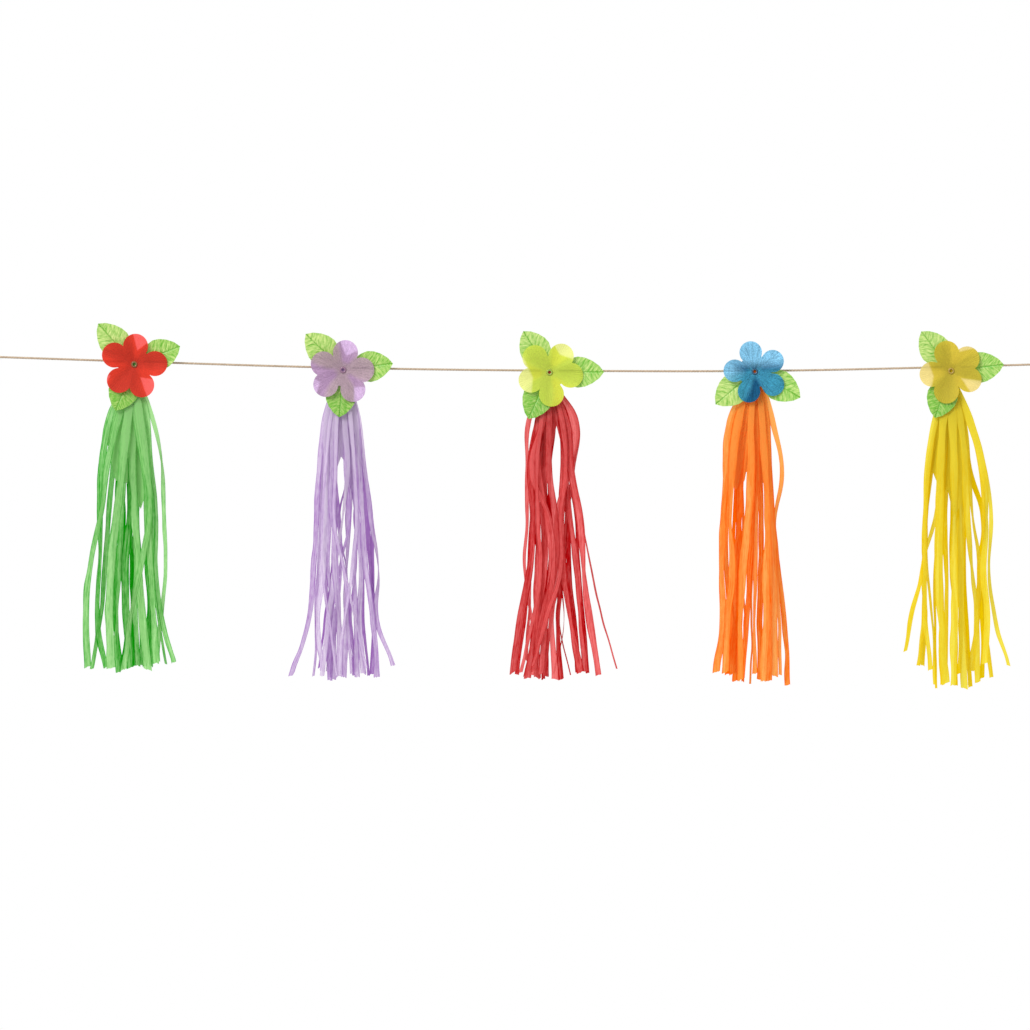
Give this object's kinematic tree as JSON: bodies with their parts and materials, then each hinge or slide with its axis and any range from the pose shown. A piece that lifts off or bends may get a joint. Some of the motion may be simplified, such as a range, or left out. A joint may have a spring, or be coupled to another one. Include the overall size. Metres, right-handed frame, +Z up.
{
  "type": "tissue paper tassel garland",
  "caption": "Taut string of fringed tissue paper tassels in mixed colours, each headed by a sheer fabric flower on green leaves, for hanging up as a party decoration.",
  "frame": {"origin": "outer end of the left stopper knot, by which the garland is held", "axes": "+X along the garland from left to right, -Y to the front that the flowers face, +Z up"},
  "size_m": [0.8562, 0.0362, 0.292],
  "materials": {
    "string_twine": "twisted twine",
    "leaf_fabric": "satin",
    "eyelet_plastic": "gloss",
    "tissue_green": "matte tissue paper",
    "fabric_red": "sheer woven",
    "tissue_lilac": "matte tissue paper",
    "fabric_lilac": "sheer woven",
    "tissue_red": "matte tissue paper",
    "fabric_lime": "sheer woven",
    "tissue_orange": "matte tissue paper",
    "fabric_blue": "sheer woven",
    "tissue_yellow": "matte tissue paper",
    "fabric_mustard": "sheer woven"
  },
  "bodies": {
    "root": {"string": "string_twine", "left_knot": "string_twine", "right_knot": "string_twine", "green_tassel": "tissue_green", "green_tassel_neck_tie": "tissue_green", "green_tassel_leaf": "leaf_fabric", "green_tassel_flower": "fabric_red", "green_tassel_eyelet": "eyelet_plastic", "lilac_tassel": "tissue_lilac", "lilac_tassel_neck_tie": "tissue_lilac", "lilac_tassel_leaf": "leaf_fabric", "lilac_tassel_flower": "fabric_lilac", "lilac_tassel_eyelet": "eyelet_plastic", "red_tassel": "tissue_red", "red_tassel_neck_tie": "tissue_red", "red_tassel_leaf": "leaf_fabric", "red_tassel_flower": "fabric_lime", "red_tassel_eyelet": "eyelet_plastic", "orange_tassel": "tissue_orange", "orange_tassel_neck_tie": "tissue_orange", "orange_tassel_leaf": "leaf_fabric", "orange_tassel_flower": "fabric_blue", "orange_tassel_eyelet": "eyelet_plastic", "yellow_tassel": "tissue_yellow", "yellow_tassel_neck_tie": "tissue_yellow", "yellow_tassel_leaf": "leaf_fabric", "yellow_tassel_flower": "fabric_mustard", "yellow_tassel_eyelet": "eyelet_plastic"}
  },
  "joints": []
}
